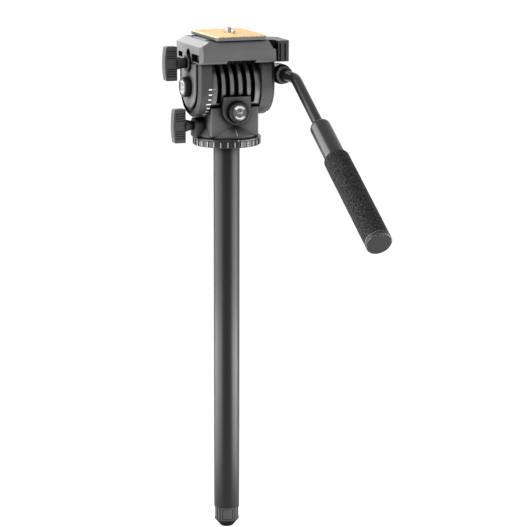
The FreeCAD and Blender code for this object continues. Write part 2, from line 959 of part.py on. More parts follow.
def tilt_lock_knob():
    right_x = boss_x() - lock_collar_t - gap - tilt_lock_hub
    hub = lock_hub(right_x, tilt_lock_hub, tilt_lock_z)
    return lock_knob(right_x, tilt_lock_z).fuse(hub).removeSplitter()


def tilt_shoe_x():
    """Inner face of the tilt lock's shoe at rest."""
    return -(drum_half + tilt_pad_gap)


def tilt_lock_screw():
    left = boss_x() - lock_collar_t - gap
    right = tilt_shoe_x() - lock_shoe_length
    return rod(X_AXIS, V(left, 0, tilt_lock_z), right - left, lock_screw_r)


def tilt_lock_shoe():
    return rod(-X_AXIS, V(tilt_shoe_x(), 0, tilt_lock_z), lock_shoe_length, lock_shoe_r)


def tilt_drag_knob():
    return round_knob(-X_AXIS, V(knob_x, 0, tilt_z), tilt_knob_length, drag_knob_r)


def tilt_drag_screw():
    return rod(X_AXIS, V(knob_x, 0, tilt_z), tilt_screw_reach, drag_screw_r)


def axle_nut_x():
    return right_inner + housing_web


def tilt_axle():
    flange_x = left_inner - housing_web - axle_flange_t
    end_x = axle_nut_x() + axle_nut_t
    flange = rod(X_AXIS, V(flange_x, 0, tilt_z), axle_flange_t, axle_flange_r)
    shaft = rod(X_AXIS, V(flange_x, 0, tilt_z), end_x - flange_x, axle_r)
    bore_end = knob_x + tilt_screw_reach + over
    bore = rod(-X_AXIS, V(bore_end, 0, tilt_z), bore_end - knob_x, drag_screw_r + fit)
    return flange.fuse(shaft).removeSplitter().cut(bore)


def axle_nut():
    start = V(axle_nut_x(), 0, tilt_z)
    nut = hexagon(X_AXIS, start, axle_nut_t, axle_nut_flats)
    return nut.cut(rod(X_AXIS, start - X_AXIS * over, axle_nut_t + 2 * over, axle_r + seat))


def right_housing():
    step_x = right_outer - right_step_t
    shell = cup(housing_r, platform_z, right_inner, step_x)
    shell = bevelled(shell, right_bevel, lambda e: is_rim(e, step_x))
    shell = shell.fuse(cup(housing_r - right_step_in, platform_z, step_x, right_outer))
    well_x = axle_nut_x()
    cuts = [
        rod(X_AXIS, V(well_x, 0, tilt_z), right_width, cap_r + seat),
        rod(X_AXIS, V(right_inner - over, 0, tilt_z), right_width, axle_r + seat),
    ]
    for place in right_screw_places():
        cuts.append(rod(-Z_AXIS, place, right_screw_length() + seat, platform_screw_r + seat))
    for place in socket_screw_places():
        start = place - X_AXIS * over
        cuts.append(rod(X_AXIS, start, right_width + 2 * over, socket_screw_r + seat))
        cuts.append(rod(X_AXIS, start, socket_screw_head_t + over, socket_screw_head_r + seat))
    return shell.cut(cuts).removeSplitter()


def right_cover():
    start = V(right_outer - cap_t + cap_proud, 0, tilt_z)
    cap = rod(X_AXIS, start, cap_t, cap_r)
    return bevelled(cap, cap_proud, lambda e: circle_at(e, X_AXIS, start.x + cap_t, cap_r))


# Platform and plate

def left_screw_places():
    """Underside of the left housing's top flange, where its screws' heads sit."""
    x = left_inner - housing_web - platform_screw_head_r - gap
    return [V(x, y, platform_z - top_flange) for y in (-left_screw_spread, left_screw_spread)]


def right_screw_places():
    """Floor of the lever's pocket, where the right screws' heads sit."""
    x = (right_inner + right_outer) / 2
    spread = housing_r - right_screw_setback
    return [V(x, y, pocket_z) for y in (-spread, spread)]


def right_screw_length():
    """The right screws run down through the platform, then as deep as the left ones run up."""
    return pocket_z - platform_z + platform_screw_length


def platform_screws():
    """The left screws' heads hang under the housing's flange, the right ones' are sunk in the pocket."""
    screws = []
    for place in left_screw_places():
        head = rod(-Z_AXIS, place, platform_screw_head_t, platform_screw_head_r)
        shank = rod(Z_AXIS, place, platform_screw_length, platform_screw_r)
        screws.append(head.fuse(shank).removeSplitter())
    for place in right_screw_places():
        head = rod(-Z_AXIS, place, platform_screw_head_t, platform_screw_head_r)
        shank = rod(-Z_AXIS, place, right_screw_length(), platform_screw_r)
        screws.append(head.fuse(shank).removeSplitter())
    return Part.makeCompound(screws)


def platform():
    side = platform_half_x
    depth = platform_half_y
    ledge_z = deck_z - right_ledge_drop
    low = side_chamfer
    section = along_y([
        (-side + low, platform_z),
        (-side, platform_z + low),
        (-side, deck_z - left_bevel),
        (-deck_half, deck_z),
        (deck_half, deck_z),
        (deck_half + right_bevel_x, ledge_z),
        (side - side_lean, ledge_z),
        (side, platform_z + low),
        (side - low, platform_z),
    ], -depth, depth)
    low = low_chamfer
    profile = along_x([
        (-depth + low, platform_z),
        (-depth, platform_z + low),
        (-depth, ledge_z),
        (-depth + front_lean, deck_z),
        (depth - front_lean, deck_z),
        (depth, ledge_z),
        (depth, platform_z + low),
        (depth - low, platform_z),
    ], -side, side)
    plan = clipped_plan(0, side, depth, front_chamfer, back_chamfer, platform_z, deck_z)
    body = section.common(profile).common(plan)

    wide = drum_half + hollow_side
    under = platform_z - over
    notch_left = notch_shift - notch_half
    notch_right = notch_shift + notch_half
    cuts = [
        box(-wide, wide, -hollow_half_y, hollow_half_y, under, platform_z + hollow_rise),
        box(notch_left, notch_right, -depth - over, 0, under, platform_z + notch_rise),
        channel(),
        box(pocket_left, side + over, stop_y, pocket_back, pocket_z, deck_z + over),
        cam_window(),
        keyhole(),
        rod(X_AXIS, V(-side, 0, tilt_lock_z), side - drum_half, lock_shoe_r + gap),
        rod(Z_AXIS, V(pivot_x, pivot_y, platform_z + hollow_rise), deck_z, pivot_pin_r + seat),
        jaw_pocket(),
        side_window(front_window_y, front_window_rise, side - wide),
        side_window(back_window_y, back_window_rise, back_window_depth),
    ]
    for place in left_screw_places():
        cuts.append(rod(Z_AXIS, place, platform_screw_length + seat, platform_screw_r + seat))
    for place in right_screw_places():
        top = place + Z_AXIS * over
        cuts.append(rod(-Z_AXIS, top, platform_height, platform_screw_r + seat))
        cuts.append(rod(-Z_AXIS, top, platform_screw_head_t + over, platform_screw_head_r + seat))
    for place in jaw_screw_places():
        cuts.append(rod(-Z_AXIS, place, jaw_screw_length() + seat, jaw_screw_r + seat))
    return body.cut(cuts).removeSplitter()


def side_window(span, rise, depth):
    """An opening in the left side, with the bosses of the housing's screws left standing in it."""
    left = -platform_half_x
    window = box(left - over, left + depth, span[0], span[1], platform_z + rise[0], platform_z + rise[1])
    wall = platform_screw_r + window_boss_wall
    return window.cut([rod(Z_AXIS, place, 2 * platform_height, wall) for place in left_screw_places()])


def clipped_plan(middle_x, half_x, half_y, front_cut, back_cut, z0, z1):
    """A rectangular slab with its front and back corners cut off."""
    left = middle_x - half_x
    right = middle_x + half_x
    return along_z([
        (left + front_cut, -half_y),
        (right - front_cut, -half_y),
        (right, -half_y + front_cut),
        (right, half_y - back_cut),
        (right - back_cut, half_y),
        (left + back_cut, half_y),
        (left, half_y - back_cut),
        (left, -half_y + front_cut),
    ], z0, z1)


def dovetail(room, low_z, top_z, y0, y1):
    """The plate's foot, or with some room round it the channel that it slides in."""
    wide = dove_half + room
    neck = dove_neck + room
    slope_z = dove_z + dove_foot
    return along_y([
        (plate_x - wide, low_z),
        (plate_x + wide, low_z),
        (plate_x + wide, slope_z),
        (plate_x + neck, slope_z + dove_slope),
        (plate_x + neck, top_z),
        (plate_x - neck, top_z),
        (plate_x - neck, slope_z + dove_slope),
        (plate_x - wide, slope_z),
    ], y0, y1)


def channel():
    """The plate's channel, open at the back and closed by the stop wall in front."""
    return dovetail(channel_side, channel_z, deck_z + over, stop_y, platform_half_y + over)


def jaw_pocket():
    """The pocket that the jaw is screwed into, open for a little at both ends of the jaw."""
    reach = jaw_half + jaw_room
    return box(jaw_left - seat, plate_x, jaw_y - reach, jaw_y + reach, channel_z, deck_z + over)


def cam_radius():
    """The cam reaches the widest part of the plate's foot when the lever is closed."""
    return pivot_x - plate_x - dove_half - channel_side


def cam_window():
    reach = math.sqrt(cam_radius() ** 2 - (pivot_x - pocket_left) ** 2)
    low_y = pivot_y - reach - cam_half - gap
    high_y = pivot_y + cam_half + 2 * gap
    return box(plate_x + dove_neck, pocket_left + over, low_y, high_y, pocket_z, deck_z + over)


def keyhole():
    """The notch in the left side, round the tilt lock's collar and straight above it."""
    round_r = lock_collar_r + lock_collar_room
    left = -platform_half_x - over
    length = boss_x() - left
    top_z = platform_z + keyhole_top - keyhole_half
    slot = outline(
        V(left, -keyhole_half, tilt_lock_z),
        V(left, -keyhole_half, top_z),
        (V(left, 0, top_z + keyhole_half), V(left, keyhole_half, top_z)),
        V(left, keyhole_half, tilt_lock_z),
    ).extrude(V(length, 0, 0))
    return rod(X_AXIS, V(left, 0, tilt_lock_z), length, round_r).fuse(slot)


def jaw_screw_places():
    x = jaw_left + jaw_screw_inset
    return [V(x, jaw_y + y, deck_z + jaw_proud) for y in (-jaw_screw_spread, 0, jaw_screw_spread)]


def jaw_screw_length():
    return dove_depth + jaw_proud + channel_floor + jaw_screw_bite


def fixed_jaw():
    front = jaw_y - jaw_half
    back = jaw_y + jaw_half
    bar = box(jaw_left, plate_x - dove_neck, front, back, channel_z, deck_z + jaw_proud)
    cuts = [dovetail(channel_side, channel_z - over, deck_z + 2 * over, front - over, back + over)]
    for place in jaw_screw_places():
        cuts.append(rod(-Z_AXIS, place, 2 * dove_depth, jaw_screw_r + seat))
        cuts.append(rod(-Z_AXIS, place, jaw_screw_head_t, jaw_screw_head_r + seat))
    return bar.cut(cuts)


def jaw_screws():
    screws = []
    for place in jaw_screw_places():
        head = rod(-Z_AXIS, place, jaw_screw_head_t, jaw_screw_head_r)
        shank = rod(-Z_AXIS, place, jaw_screw_length(), jaw_screw_r)
        screws.append(head.fuse(shank).removeSplitter())
    return Part.makeCompound(screws)


def plan_plate(inset, z0, z1):
    half_x = plate_half_x - inset
    half_y = plate_half_y - inset
    return clipped_plan(plate_x, half_x, half_y, plate_front_corner, plate_back_corner, z0, z1)


def camera_plate():
    slab = plan_plate(0, slab_z, cork_z)
    foot = dovetail(0, dove_z, slab_z, stop_y + gap, plate_half_y)
    plate = slab.fuse(foot)
    under = dove_z - over
    through = cork_z + over - under
    screw = V(plate_x, 0, under)
    pin = V(plate_x, -pin_place, under)
    cuts = [
        rod(Z_AXIS, screw, through, screw_r + fit),
        rod(Z_AXIS, screw, screw_head_top() - under, screw_head_r + gap),
        rod(Z_AXIS, pin, through, pin_r + fit),
        rod(Z_AXIS, pin, pin_flange_z() + pin_flange_t - under, pin_flange_r + gap),
    ]
    return plate.cut(cuts).removeSplitter()


def screw_head_top():
    return slab_z - screw_recess


def pin_flange_z():
    """Underside of the anti-twist pin's flange when the pin is up."""
    return slab_z - pin_flange_drop


def cork_pad():
    pad = plan_plate(cork_inset, cork_z, plate_top)
    low = cork_z - over
    through = cork_t + 2 * over
    half = screw_r + 2 * gap
    return pad.cut([
        rod(Z_AXIS, V(plate_x, 0, low), through, half),
        box(plate_x - half, plate_x + half, 0, cork_slot, low, low + through),
        rod(Z_AXIS, V(plate_x, cork_slot, low), through, half),
        rod(Z_AXIS, V(plate_x, -pin_place, low), through, pin_r + gap),
    ])


def camera_screw():
    """The thread starts at the cork's face, above a slim neck that holds the screw in the plate."""
    top = plate_top + screw_rise
    head_z = screw_head_top() - screw_head_t
    foot = V(plate_x, 0, head_z)
    head = rod(Z_AXIS, foot, screw_head_t - screw_float, screw_head_r)
    neck = rod(Z_AXIS, foot, plate_top - head_z, screw_neck_r)
    thread = rod(Z_AXIS, V(plate_x, 0, plate_top), screw_rise, screw_r)
    thread = bevelled(thread, screw_tip, lambda e: circle_at(e, Z_AXIS, top, screw_r))
    left = plate_x - screw_head_r
    right = plate_x + screw_head_r
    half = screw_slot / 2
    slot = box(left, right, -half, half, head_z - over, head_z + screw_slot)
    return head.fuse([neck, thread]).removeSplitter().cut(slot)


def video_pin():
    top = plate_top + pin_rise
    low = pin_flange_z()
    centre = V(plate_x, -pin_place, low)
    shaft = rod(Z_AXIS, centre, top - low, pin_r)
    shaft = rounded(shaft, pin_tip_round, lambda e: circle_at(e, Z_AXIS, top, pin_r))
    return shaft.fuse(rod(Z_AXIS, centre, pin_flange_t - fit, pin_flange_r)).removeSplitter()


def pin_plug():
    return rod(Z_AXIS, V(plate_x, -pin_place, dove_z), pin_plug_t, pin_flange_r + gap - seat)


def pin_spring():
    low = dove_z + pin_plug_t
    outer = pin_flange_r - fit
    return pipe(Z_AXIS, V(plate_x, -pin_place, low), pin_flange_z() - low, outer, outer - spring_wall)


# Lever

def qr_lever():
    top = lever_z + lever_height
    hub = rod(Z_AXIS, V(pivot_x, pivot_y, lever_z), lever_height, hub_radius)
    cam_x = pivot_x - cam_radius()
    cam = outline(
        V(pivot_x, pivot_y - cam_root, lever_z),
        V(cam_x + cam_half, pivot_y - cam_half, lever_z),
        (V(cam_x, pivot_y, lever_z), V(cam_x + cam_half, pivot_y + cam_half, lever_z)),
        V(pivot_x, pivot_y + cam_root, lever_z),
    ).extrude(V(0, 0, dove_z + dove_foot - lever_z))
    tab_back = -tab_front + tab_thick
    tab_right = tab_left + tab_width
    diagonal = math.sqrt(0.5)
    bow = arm_round * (1 - diagonal)
    arm = outline(
        V(pivot_x - arm_root, pivot_y, lever_z),
        V(arm_left, -arm_front, lever_z),
        V(arm_step_x, -arm_step_y, lever_z),
        V(tab_left + arm_over, tab_back - arm_over, lever_z),
        V(tab_right, tab_back - arm_over, lever_z),
        V(tab_right, arm_shoulder, lever_z),
        (
            V(tab_right - bow, arm_shoulder + arm_round - bow, lever_z),
            V(tab_right - arm_round, arm_shoulder + arm_round, lever_z),
        ),
        V(pivot_x + hub_radius * diagonal, pivot_y + hub_radius * diagonal, lever_z),
    ).extrude(V(0, 0, lever_height))
    tab_low = lever_z - tab_drop
    tab = box(tab_left, tab_right, -tab_front, tab_back, tab_low, top)
    tab = rounded(tab, tab_round, lambda e: upright(e) and e.BoundBox.XMin > tab_right - over)
    lever = hub.fuse([cam, arm, tab])
    under = V(pivot_x, pivot_y, lever_z - over)
    cuts = [
        rod(Z_AXIS, under, lever_height + 2 * over, pivot_pin_r + fit),
        rod(Z_AXIS, under, lever_spring_rise + over, spring_r() + gap),
    ]
    front = -tab_front - over
    for i in range(tab_grooves):
        left = tab_left + tab_first_groove + tab_groove_pitch * i - tab_groove_width / 2
        right = left + tab_groove_width
        cuts.append(box(left, right, front, -tab_front + tab_groove, tab_low - over, top - tab_groove_stop))
    return lever.cut(cuts).removeSplitter()


def spring_r():
    return pivot_pin_r + 2 * gap + 2 * spring_wall


def lever_pivot_pin():
    low = platform_z + hollow_rise
    top = lever_z + lever_height + gap
    shaft = rod(Z_AXIS, V(pivot_x, pivot_y, low), top - low, pivot_pin_r)
    head = rod(Z_AXIS, V(pivot_x, pivot_y, top), pivot_head_t, pivot_head_r)
    return shaft.fuse(head).removeSplitter()


def lever_spring():
    start = V(pivot_x, pivot_y, pocket_z)
    return pipe(Z_AXIS, start, lever_spring_rise, spring_r(), spring_r() - spring_wall)


# Handle

def socket_screw_places():
    """Inner face of the right housing, where the socket's screws start."""
    y = -socket_front + socket_screw_place
    return [V(right_inner, y, socket_z + dz) for dz in (-socket_screw_spread, socket_screw_spread)]


def socket_screw_length():
    return right_width + socket_screw_bite


def handle_socket():
    start = V(socket_x, -socket_front, socket_z)
    barrel = rod(Y_AXIS, start, socket_length, socket_r)
    back = socket_length - socket_front
    barrel = rounded(barrel, socket_round, lambda e: circle_at(e, Y_AXIS, back, socket_r))
    nose = rod(-Y_AXIS, start, nose_length, nose_r)
    front_y = -socket_front + bracket_front
    back_y = -socket_front + bracket_back
    low_z = socket_z - bracket_half
    high_z = socket_z + bracket_half
    bracket = box(right_outer, right_outer + bracket_reach, front_y, back_y, low_z, high_z)
    socket = barrel.fuse([nose, bracket])
    bore_end = start + Y_AXIS * (rod_in_socket + gap)
    cuts = [
        box(right_inner, right_outer, -2 * socket_front, socket_front, low_z - socket_r, high_z + socket_r),
        rod(-Y_AXIS, bore_end, nose_length + socket_front, rod_r + fit),
    ]
    for place in socket_screw_places():
        cuts.append(rod(X_AXIS, place, socket_screw_length() + seat, socket_screw_r + seat))
    return socket.cut(cuts).removeSplitter()


def socket_screws():
    screws = []
    for place in socket_screw_places():
        head = rod(X_AXIS, place, socket_screw_head_t, socket_screw_head_r)
        shank = rod(X_AXIS, place, socket_screw_length(), socket_screw_r)
        screws.append(head.fuse(shank).removeSplitter())
    return Part.makeCompound(screws)


def handle_lock_collar():
    start = V(socket_x, -socket_front - gap, socket_z)
    collar = rod(-Y_AXIS, start, collar_length, collar_r)
    far = start.y - collar_length
    collar = bevelled(collar, collar_chamfer, lambda e: circle_at(e, Y_AXIS, far, collar_r))
    return collar.cut([
        rod(-Y_AXIS, start, collar_length - collar_wall, nose_r + gap),
        rod(-Y_AXIS, start, collar_length + over, rod_r + gap),
    ])


def handle_line(distance):
    """A point on the straight part of the handle, from the corner of the bend on."""
    corner = V(socket_x, -socket_front - bend_reach, socket_z)
    return corner + handle_way() * distance


def handle_way():
    turn = math.radians(bend_angle)
    return V(0, -math.cos(turn), -math.sin(turn))


def handle_rod():
    setback = bend_radius * math.tan(math.radians(bend_angle) / 2)
    first = V(socket_x, -socket_front + rod_in_socket, socket_z)
    arc_start = V(socket_x, -socket_front - bend_reach + setback, socket_z)
    pivot = arc_start - Z_AXIS * bend_radius
    straight = rod(-Y_AXIS, first, first.y - arc_start.y, rod_r)
    disc = Part.Face(Part.Wire(Part.makeCircle(rod_r, arc_start, Y_AXIS)))
    elbow = disc.revolve(pivot, X_AXIS, bend_angle)
    arc_end = handle_line(setback)
    reach = rod_run + sleeve_length + grip_length - setback
    arm = rod(handle_way(), arc_end, reach, rod_r)
    return straight.fuse([elbow, arm]).removeSplitter()


def handle_sleeve():
    start = handle_line(rod_run)
    sleeve = rod(handle_way(), start, sleeve_length, sleeve_r)
    near = start.dot(handle_way())
    sleeve = rounded(sleeve, sleeve_round, lambda e: circle_at(e, handle_way(), near, sleeve_r))
    before = start - handle_way() * over
    return sleeve.cut(rod(handle_way(), before, sleeve_length + 2 * over, rod_r + seat))


def foam_grip():
    start = handle_line(rod_run + sleeve_length)
    grip = pipe(handle_way(), start, grip_length, grip_r, rod_r + seat)
    near = start.dot(handle_way())
    return rounded(grip, grip_round, lambda e: circle_at(e, handle_way(), near, grip_r))


def grip_end_cap():
    start = handle_line(rod_run + sleeve_length + grip_length)
    cap_r_here = grip_r + cap_proud_r
    cap = rod(handle_way(), start, cap_length, cap_r_here)
    far = start.dot(handle_way()) + cap_length
    return bevelled(cap, cap_chamfer, lambda e: circle_at(e, handle_way(), far, cap_r_here))


pieces = [
    column_tube, column_plug, head_stud, base_ring, base_screws, pan_spindle, thrust_washer,
    spindle_washer, spindle_nut, foot_insert, foot_cap,
    pan_block, pan_bushing, fin_drum, drum_screws, tilt_bushing_left, tilt_bushing_right, drag_stators,
    pan_drag_knob, pan_drag_screw, pan_drag_pad, pan_lock_knob, pan_lock_screw, pan_lock_shoe,
    left_housing, left_cover, right_housing, right_cover, tilt_axle, axle_nut, drag_rotors,
    tilt_lock_collar, tilt_lock_knob, tilt_lock_screw, tilt_lock_shoe, tilt_drag_knob, tilt_drag_screw,
    platform, platform_screws, fixed_jaw, jaw_screws, camera_plate, cork_pad, camera_screw,
    video_pin, pin_plug, pin_spring, qr_lever, lever_pivot_pin, lever_spring,
    handle_socket, socket_screws, handle_lock_collar, handle_rod, handle_sleeve, foam_grip, grip_end_cap,
]

os.makedirs("parts", exist_ok=True)
for piece in pieces:
    piece().exportStep("parts/" + piece.__name__ + ".step")
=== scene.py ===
import bpy
import bmesh
import math
from mathutils import Matrix, Vector, noise as clouds
from mathutils.bvhtree import BVHTree
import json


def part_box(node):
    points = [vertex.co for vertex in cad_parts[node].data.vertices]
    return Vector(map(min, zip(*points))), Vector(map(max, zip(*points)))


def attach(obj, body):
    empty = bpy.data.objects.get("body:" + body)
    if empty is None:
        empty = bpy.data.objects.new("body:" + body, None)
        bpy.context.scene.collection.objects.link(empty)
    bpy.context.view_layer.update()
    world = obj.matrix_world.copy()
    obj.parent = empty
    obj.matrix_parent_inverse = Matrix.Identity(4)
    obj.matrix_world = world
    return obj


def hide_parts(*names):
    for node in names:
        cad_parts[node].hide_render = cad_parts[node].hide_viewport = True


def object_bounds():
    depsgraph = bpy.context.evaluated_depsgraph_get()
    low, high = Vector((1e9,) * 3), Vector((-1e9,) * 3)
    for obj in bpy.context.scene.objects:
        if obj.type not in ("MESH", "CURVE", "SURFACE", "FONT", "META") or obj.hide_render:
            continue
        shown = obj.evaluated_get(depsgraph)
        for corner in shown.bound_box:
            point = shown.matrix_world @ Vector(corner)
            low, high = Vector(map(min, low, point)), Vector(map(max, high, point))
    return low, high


# The looks of a pan and tilt video head on its centre column.
# Metres. +Z is up, -Y is the side where the operator stands, and the tilt axis runs along X.

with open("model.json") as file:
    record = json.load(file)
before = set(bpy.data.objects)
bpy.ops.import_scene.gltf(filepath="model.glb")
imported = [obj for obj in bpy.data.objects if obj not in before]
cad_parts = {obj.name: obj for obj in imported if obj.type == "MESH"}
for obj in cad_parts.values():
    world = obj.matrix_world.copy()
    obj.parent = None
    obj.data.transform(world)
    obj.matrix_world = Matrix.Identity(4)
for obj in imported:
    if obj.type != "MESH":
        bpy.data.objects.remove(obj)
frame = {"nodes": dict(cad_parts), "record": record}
cad_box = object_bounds()

MM = 0.001
floor_z = cad_box[0].z
upward = Vector((0.0, 0.0, 1.0))
leftward = Vector((-1.0, 0.0, 0.0))
frontward = Vector((0.0, -1.0, 0.0))
backward = Vector((0.0, 1.0, 0.0))

# Camera, from the photograph's perspective
image_size = 527
camera_place = Vector((-0.80231, -2.1828, 0.36063))
camera_azimuth = math.radians(21.154)
camera_pitch = math.radians(11.907)
camera_roll = math.radians(0.179)
camera_focus = 2220.0            # focal length, in pixels of the image
sensor_width = 36.0


# Nodes of materials

def new_material(name):
    """A material with its node tree and its main shader."""
    material = bpy.data.materials.new(name)
    material.use_nodes = True
    tree = material.node_tree
    return material, tree, tree.nodes["Principled BSDF"]


def place(tree, stretch=(1.0, 1.0, 1.0)):
    """Object coordinates, stretched along the axes."""
    coordinates = tree.nodes.new("ShaderNodeTexCoord")
    mapping = tree.nodes.new("ShaderNodeMapping")
    mapping.inputs["Scale"].default_value = stretch
    tree.links.new(coordinates.outputs["Object"], mapping.inputs["Vector"])
    return mapping.outputs["Vector"]


def noise(tree, scale, detail=3.0, stretch=(1.0, 1.0, 1.0)):
    """Cloudy noise with this many features per metre."""
    cloud = tree.nodes.new("ShaderNodeTexNoise")
    cloud.inputs["Scale"].default_value = scale
    cloud.inputs["Detail"].default_value = detail
    tree.links.new(place(tree, stretch), cloud.inputs["Vector"])
    return cloud.outputs["Fac"]


def random_cells(tree, scale):
    """The outputs of a pattern with this many cells per metre."""
    cells = tree.nodes.new("ShaderNodeTexVoronoi")
    cells.inputs["Scale"].default_value = scale
    tree.links.new(place(tree), cells.inputs["Vector"])
    return cells.outputs


def combined(tree, operation, first, second):
    """Two values, combined by an operation."""
    step = tree.nodes.new("ShaderNodeMath")
    step.operation = operation
    tree.links.new(first, step.inputs[0])
    tree.links.new(second, step.inputs[1])
    return step.outputs["Value"]


def spread(tree, value, low, high, start=0.3, end=0.7):
    """A value between start and end, spread over low to high."""
    ranger = tree.nodes.new("ShaderNodeMapRange")
    ranger.inputs["From Min"].default_value = start
    ranger.inputs["From Max"].default_value = end
    ranger.inputs["To Min"].default_value = low
    ranger.inputs["To Max"].default_value = high
    tree.links.new(value, ranger.inputs["Value"])
    return ranger.outputs["Result"]


def blended(tree, factor, first, second):
    """A colour between two, each of which is a colour or a socket."""
    mix = tree.nodes.new("ShaderNodeMix")
    mix.data_type = "RGBA"
    tree.links.new(factor, mix.inputs["Factor"])
    for socket, colour in ((mix.inputs["A"], first), (mix.inputs["B"], second)):
        if isinstance(colour, bpy.types.NodeSocket):
            tree.links.new(colour, socket)
        else:
            socket.default_value = (*colour, 1.0)
    return mix.outputs["Result"]


def shaded(colour, factor):
    """A colour made darker or lighter."""
    return tuple(part * factor for part in colour)


def rounded_normal(tree, radius):
    """Normals that round the edges of a piece by a small radius."""
    bevel = tree.nodes.new("ShaderNodeBevel")
    bevel.samples = 4
    bevel.inputs["Radius"].default_value = radius
    return bevel.outputs["Normal"]


def edge_mask(tree, normal):
    """One on the edges that the rounded normals turn over, and none on flat faces."""
    least_turn = 0.005
    full_turn = 0.06
    geometry = tree.nodes.new("ShaderNodeNewGeometry")
    dot = tree.nodes.new("ShaderNodeVectorMath")
    dot.operation = "DOT_PRODUCT"
    tree.links.new(geometry.outputs["Normal"], dot.inputs[0])
    tree.links.new(normal, dot.inputs[1])
    return spread(tree, dot.outputs["Value"], 1.0, 0.0, start=1.0 - full_turn, end=1.0 - least_turn)


def relief(tree, height, depth, normal=None):
    """Normals with a fine relief of this depth, on top of the rounded ones where they are given."""
    bump = tree.nodes.new("ShaderNodeBump")
    bump.inputs["Distance"].default_value = depth
    bump.inputs["Strength"].default_value = 1.0
    tree.links.new(height, bump.inputs["Height"])
    if normal is not None:
        tree.links.new(normal, bump.inputs["Normal"])
    return bump.outputs["Normal"]


def painted_shade_mask(tree, reach):
    """Nought deep in grooves and corners, and one on open faces: the mask by which materials paint shade
    there.
    """
    shade = tree.nodes.new("ShaderNodeAmbientOcclusion")
    shade.samples = 8
    shade.inputs["Distance"].default_value = reach
    return spread(tree, shade.outputs["AO"], 0.0, 1.0, start=0.55, end=0.95)


def even_gloss(shader, roughness, specular):
    shader.inputs["Roughness"].default_value = roughness
    shader.inputs["Specular IOR Level"].default_value = specular


# Materials

def coated(name, colour, roughness, specular, grain=1400.0, depth=0.02 * MM, edge=0.6 * MM,
           wear_and_edge_highlight=0.25, sheen=0.04, groove_shade=0.08, reach=13.0 * MM):
    """Paint, anodising or moulded plastic, with fine grain, faint patches and rounded edges.
    wear_and_edge_highlight multiplies the colour on edges, broken up at random: above one it is a
    painted highlight along the edges, below one it darkens them.
    groove_shade is painted shade, how far colour and gloss fall in grooves, corners and gaps; sheen is
    how far the roughness varies, and reach how wide a groove may be."""
    patch_scale = 45.0
    patch_tone = 0.06
    edge_breakup_scale = 260.0
    edge_breakup_least = 0.6
    material, tree, shader = new_material(name)
    normal = rounded_normal(tree, edge)
    patches = spread(tree, noise(tree, patch_scale), 0.0, 1.0)
    base = blended(tree, patches, shaded(colour, 1.0 - patch_tone), shaded(colour, 1.0 + patch_tone))
    # Edge tone, broken up at random: a painted highlight along the edges where the factor is above one,
    # darker edges where it is below one.
    edge_breakup = spread(tree, noise(tree, edge_breakup_scale, detail=5.0), edge_breakup_least, 1.0, start=0.35, end=0.6)
    wear_and_highlight_edges = combined(tree, "MULTIPLY", edge_mask(tree, normal), edge_breakup)
    worn_and_highlit = blended(tree, wear_and_highlight_edges, base, shaded(colour, wear_and_edge_highlight))
    # Painted shade: colour and gloss fall deep in grooves, corners and gaps, where shade would fall.
    unshaded_share = painted_shade_mask(tree, reach)
    tone = blended(tree, unshaded_share, shaded(colour, groove_shade), worn_and_highlit)
    gloss = spread(tree, unshaded_share, specular * groove_shade, specular, start=0.0, end=1.0)
    grains = noise(tree, grain, detail=2.0)
    matt = spread(tree, grains, roughness - sheen, roughness + sheen)
    tree.links.new(tone, shader.inputs["Base Color"])
    tree.links.new(gloss, shader.inputs["Specular IOR Level"])
    tree.links.new(matt, shader.inputs["Roughness"])
    tree.links.new(relief(tree, grains, depth, normal), shader.inputs["Normal"])
    return material


def machined(name, colour, roughness):
    """Bare metal with fine tool marks that run round the upright axis."""
    mark_scale = 900.0
    mark_stretch = (1.0, 1.0, 8.0)
    mark_depth = 0.004 * MM
    edge = 0.15 * MM
    dark_tone = 0.86
    light_tone = 1.1
    smoother = 0.06
    rougher = 0.1
    material, tree, shader = new_material(name)
    marks = noise(tree, mark_scale, detail=4.0, stretch=mark_stretch)
    tone = spread(tree, marks, 0.0, 1.0)
    base = blended(tree, tone, shaded(colour, dark_tone), shaded(colour, light_tone))
    matt = spread(tree, marks, roughness - smoother, roughness + rougher)
    tree.links.new(base, shader.inputs["Base Color"])
    tree.links.new(matt, shader.inputs["Roughness"])
    tree.links.new(relief(tree, marks, mark_depth, rounded_normal(tree, edge)), shader.inputs["Normal"])
    shader.inputs["Metallic"].default_value = 1.0
    return material


def cork_sheet(name):
    """Pressed cork granules with darker specks between them."""
    dark_granule = (0.78, 0.50, 0.22)
    light_granule = (0.93, 0.70, 0.42)
    speck = (0.42, 0.25, 0.11)
    pit_depth = 0.08 * MM
    material, tree, shader = new_material(name)
    grey = tree.nodes.new("ShaderNodeRGBToBW")
    tree.links.new(random_cells(tree, 750.0)["Color"], grey.inputs["Color"])
    granules = blended(tree, spread(tree, grey.outputs["Val"], 0.0, 1.0), dark_granule, light_granule)
    specks = spread(tree, noise(tree, 1300.0, detail=4.0), 0.0, 1.0, start=0.60, end=0.72)
    pits = noise(tree, 1500.0, detail=4.0)
    tree.links.new(blended(tree, specks, granules, speck), shader.inputs["Base Color"])
    tree.links.new(relief(tree, pits, pit_depth), shader.inputs["Normal"])
    even_gloss(shader, 0.9, 0.15)
    return material


def foam_rubber(name):
    """Closed-cell foam: pale speckles of cut cells on near black."""
    deep_cell = (0.002, 0.002, 0.002)
    cut_cell = (0.052, 0.052, 0.053)
    cell_depth = 0.35 * MM
    material, tree, shader = new_material(name)
    cells = random_cells(tree, 900.0)["Distance"]
    speckle = spread(tree, noise(tree, 800.0, detail=4.0), 0.0, 1.0, start=0.46, end=0.66)
    tree.links.new(blended(tree, speckle, deep_cell, cut_cell), shader.inputs["Base Color"])
    tree.links.new(relief(tree, cells, cell_depth), shader.inputs["Normal"])
    even_gloss(shader, 0.8, 0.12)
    return material


fine_grain = 2600.0
cast_depth = 0.015 * MM
moulded_depth = 0.006 * MM
print_edge = 0.02 * MM

